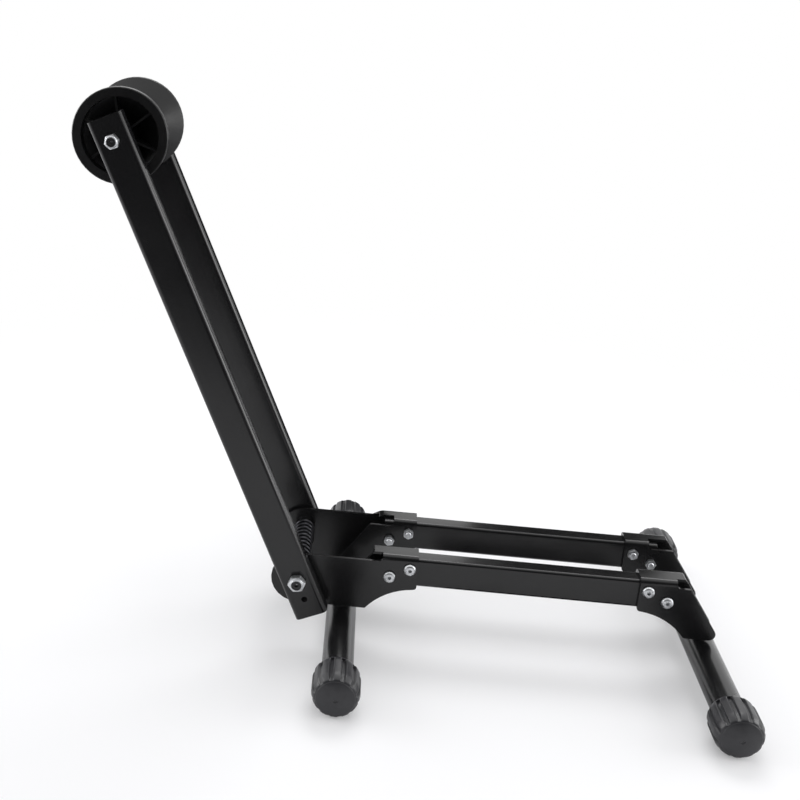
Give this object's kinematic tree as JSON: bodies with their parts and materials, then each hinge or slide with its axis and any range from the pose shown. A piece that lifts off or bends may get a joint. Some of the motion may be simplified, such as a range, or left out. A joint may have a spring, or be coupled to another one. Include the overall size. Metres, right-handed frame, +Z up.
{
  "type": "bike parking stand",
  "caption": "Floor stand for a bike wheel: a tube base with rails and rubber foot caps, and a sprung swing arm whose grooved roller presses on the tyre.",
  "frame": {"origin": "On the floor, under the centre of the whole stand's bounding box, with the swing arm as in the picture.", "axes": "+X runs along the rails from the swing arm's end to the open end, +Y across the rails to the far side, +Z up."},
  "size_m": [0.5506, 0.3078, 0.4471],
  "materials": {
    "powder_coat": "gloss black powder coat",
    "cap_rubber": "matt black moulded rubber",
    "zinc": "bright zinc plate",
    "spring_steel": "oiled dark spring wire",
    "roller_plastic": "satin black moulding",
    "nylon": "black nylon"
  },
  "bodies": {
    "base": {"far_left_bracket": "powder_coat", "far_left_foot_cap": "cap_rubber", "far_left_rail_nut_1": "zinc", "far_left_rail_nut_2": "zinc", "far_left_rail_screw_1": "zinc", "far_left_rail_screw_2": "zinc", "far_rail": "powder_coat", "far_right_bracket": "powder_coat", "far_right_foot_cap": "cap_rubber", "far_right_rail_nut_1": "zinc", "far_right_rail_nut_2": "zinc", "far_right_rail_screw_1": "zinc", "far_right_rail_screw_2": "zinc", "left_cross_tube": "powder_coat", "near_left_bracket": "powder_coat", "near_left_foot_cap": "cap_rubber", "near_left_rail_nut_1": "zinc", "near_left_rail_nut_2": "zinc", "near_left_rail_screw_1": "zinc", "near_left_rail_screw_2": "zinc", "near_rail": "powder_coat", "near_right_bracket": "powder_coat", "near_right_foot_cap": "cap_rubber", "near_right_rail_nut_1": "zinc", "near_right_rail_nut_2": "zinc", "near_right_rail_screw_1": "zinc", "near_right_rail_screw_2": "zinc", "right_cross_tube": "powder_coat", "torsion_spring": "spring_steel"},
    "swing_arm": {"near_arm": "powder_coat", "far_arm": "powder_coat", "pivot_screw": "zinc", "pivot_lock_nut": "zinc", "pivot_sleeve": "zinc", "axle_screw": "zinc", "axle_lock_nut": "zinc", "axle_sleeve": "zinc", "near_axle_spacer": "nylon", "far_axle_spacer": "nylon"},
    "roller": {"roller": "roller_plastic"}
  },
  "joints": [
    {"name": "arm_swing", "type": "hinge", "parent": "base", "child": "swing_arm", "pos_m": [-0.08178, 0, 0.0615], "axis": [0, 1, 0], "range_deg": [-20, 95], "stiffness_Nm_per_rad": 2.17, "springref_deg": 20.19, "deforming": ["torsion_spring"]},
    {"name": "roller_spin", "type": "hinge", "parent": "swing_arm", "child": "roller", "pos_m": [-0.23858, 0, 0.41039], "axis": [0, 1, 0], "continuous": true}
  ]
}
